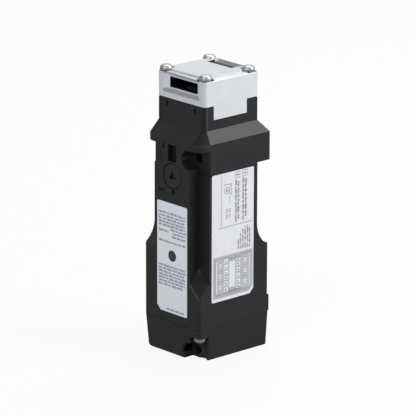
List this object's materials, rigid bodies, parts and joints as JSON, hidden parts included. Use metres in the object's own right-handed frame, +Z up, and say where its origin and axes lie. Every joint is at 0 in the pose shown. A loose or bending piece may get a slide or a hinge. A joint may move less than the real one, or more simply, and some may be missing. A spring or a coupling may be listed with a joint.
{
  "type": "tongue interlock switch",
  "caption": "Slim guard door interlock switch with a solenoid lock, a metal head with front and top tongue slots, and a black moulded body.",
  "frame": {"origin": "middle of the bottom of the cover, under the centre of the 35 by 40 mm outline", "axes": "+X to the right along the front, +Y to the mounting panel behind, +Z up to the head"},
  "size_m": [0.035, 0.04, 0.1245],
  "materials": {
    "housing_plastic": "fine moulded grain, glass filled",
    "cover_plastic": "fine moulded grain, glass filled",
    "head_metal": "satin die casting",
    "screw_steel": "bright plated steel",
    "cam_steel": "sintered steel",
    "shaft_steel": "ground",
    "rod_plastic": "smooth",
    "seal_rubber": "smooth",
    "spring_steel": "drawn wire",
    "plate_plastic": "smooth",
    "slide_steel": "stamped",
    "yoke_plastic": "smooth",
    "frame_steel": "zinc plated sheet",
    "core_steel": "turned",
    "bobbin_plastic": "smooth",
    "winding_copper": "enamelled wire",
    "switch_plastic": "smooth",
    "plunger_plastic": "smooth",
    "contact_brass": "stamped",
    "terminal_plastic": "smooth",
    "board_laminate": "printed circuit laminate",
    "lamp_clear": "clear",
    "lens_green": "tinted, dark when off",
    "disc_plastic": "fine moulded grain",
    "label_front": "silver polyester film",
    "label_side": "silver white polyester film"
  },
  "bodies": {
    "housing": {"main_housing": "housing_plastic", "bottom_cover": "cover_plastic", "cover_gasket": "seal_rubber", "cover_screws": "screw_steel", "head_housing": "head_metal", "head_gasket": "seal_rubber", "head_screws": "screw_steel", "cam_shaft": "shaft_steel", "rod_seal": "seal_rubber", "rod_spring": "spring_steel", "mechanism_plate": "plate_plastic", "solenoid_frame": "frame_steel", "coil_bobbin": "bobbin_plastic", "coil_winding": "winding_copper", "fixed_core": "core_steel", "armature_spring": "spring_steel", "door_switch_block": "switch_plastic", "door_fixed_contacts": "contact_brass", "lock_switch_block": "switch_plastic", "lock_fixed_contacts": "contact_brass", "terminal_block": "terminal_plastic", "terminal_screws": "screw_steel", "indicator_board": "board_laminate", "indicator_lamp": "lamp_clear", "indicator_lens": "lens_green", "front_label": "label_front", "side_label": "label_side"},
    "cam": {"operating_cam": "cam_steel"},
    "rod": {"operating_rod": "rod_plastic", "rod_lock_ring": "slide_steel"},
    "door_plunger": {"door_switch_plunger": "plunger_plastic", "door_contact_bridge": "contact_brass"},
    "armature": {"armature": "core_steel", "lock_yoke": "yoke_plastic"},
    "lock_slide": {"lock_slide": "slide_steel", "lock_slide_pin": "shaft_steel"},
    "lock_plunger": {"lock_switch_plunger": "plunger_plastic", "lock_contact_bridge": "contact_brass"},
    "unlock": {"unlock_disc": "disc_plastic", "unlock_o_ring": "seal_rubber", "unlock_crank": "plate_plastic"}
  },
  "joints": [
    {"name": "cam_turn", "type": "hinge", "parent": "housing", "child": "cam", "pos_m": [0, 0, 0.1084], "axis": [-1, 0, 0], "range_deg": [0, 50]},
    {"name": "rod_slide", "type": "slide", "parent": "housing", "child": "rod", "axis": [0, 0, 1], "range_m": [0, 0.003], "deforming": ["rod_spring"]},
    {"name": "door_plunger_slide", "type": "slide", "parent": "housing", "child": "door_plunger", "axis": [0, 0, 1], "range_m": [0, 0.003]},
    {"name": "armature_slide", "type": "slide", "parent": "housing", "child": "armature", "axis": [0, 0, -1], "range_m": [0, 0.0025], "stiffness_N_per_m": 300, "deforming": ["armature_spring"]},
    {"name": "lock_slide_move", "type": "slide", "parent": "housing", "child": "lock_slide", "axis": [1, 0, 0], "range_m": [0, 0.0025]},
    {"name": "lock_plunger_slide", "type": "slide", "parent": "housing", "child": "lock_plunger", "axis": [0, 0, -1], "range_m": [0, 0.0025]},
    {"name": "unlock_turn", "type": "hinge", "parent": "housing", "child": "unlock", "pos_m": [0, -0.0199, 0.0791], "axis": [0, -1, 0], "range_deg": [-90, 0]}
  ],
  "couplings": [
    {"joint": "cam_turn", "follows": "rod_slide", "rad_per_m": 290.89},
    {"joint": "door_plunger_slide", "follows": "rod_slide", "ratio": 1},
    {"joint": "lock_slide_move", "follows": "armature_slide", "ratio": 1},
    {"joint": "lock_plunger_slide", "follows": "armature_slide", "ratio": 1}
  ]
}
